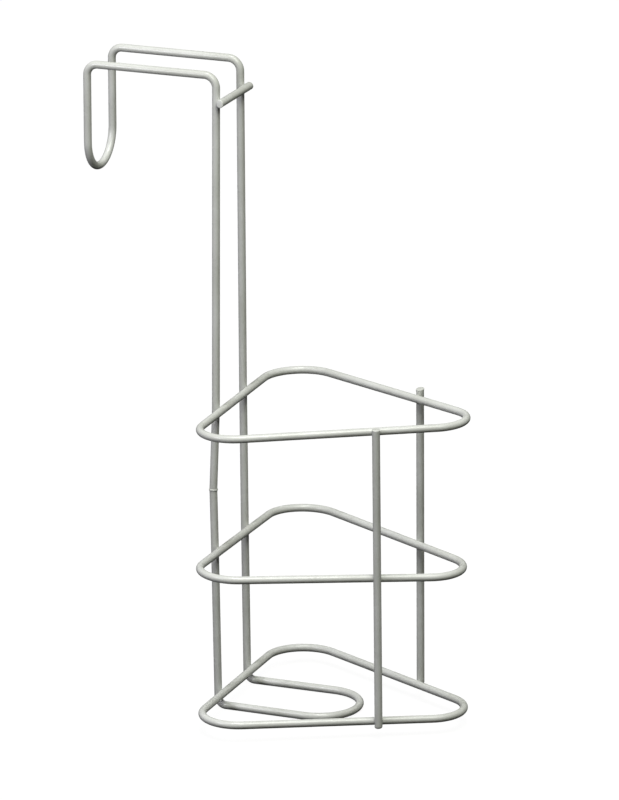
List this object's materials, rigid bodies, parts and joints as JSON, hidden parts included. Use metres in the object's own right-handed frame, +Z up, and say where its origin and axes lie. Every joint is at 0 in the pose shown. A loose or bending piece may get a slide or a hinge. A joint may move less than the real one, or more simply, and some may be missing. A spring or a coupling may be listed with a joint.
{
  "type": "shower caddy",
  "caption": "Over-the-wall shower caddy of plastic-coated steel wire: triangular rings on a hook-topped hanger frame, tied by uprights and a cross bar.",
  "frame": {"origin": "middle of the bounding box, at the level of the underside of the foot loop", "axes": "+Z up along the legs; +X from the wall towards the apex of the rings, so the hook is on -X; +Y from the left leg to the right leg, seen from the wall"},
  "size_m": [0.2651, 0.174, 0.4447],
  "materials": {
    "coating": "satin, light grey-white dipped coating",
    "wire": "drawn mild steel, sealed in its coating",
    "weld": "fused steel, as welded",
    "butt_collar": "weld upset coated with the frame, satin"
  },
  "bodies": {
    "root": {"hanger_frame_coating": "coating", "top_ring_coating": "coating", "middle_ring_coating": "coating", "bottom_ring_coating": "coating", "left_upright_coating": "coating", "right_upright_coating": "coating", "cross_bar_coating": "coating", "hanger_frame_steel": "wire", "top_ring_steel": "wire", "middle_ring_steel": "wire", "bottom_ring_steel": "wire", "left_upright_steel": "wire", "right_upright_steel": "wire", "cross_bar_steel": "wire", "top_ring_leg_welds": "weld", "middle_ring_leg_welds": "weld", "bottom_ring_leg_welds": "weld", "left_upright_welds": "weld", "right_upright_welds": "weld", "cross_bar_welds": "weld", "ring_butt_welds": "weld", "hanger_butt_weld": "butt_collar"}
  },
  "joints": []
}
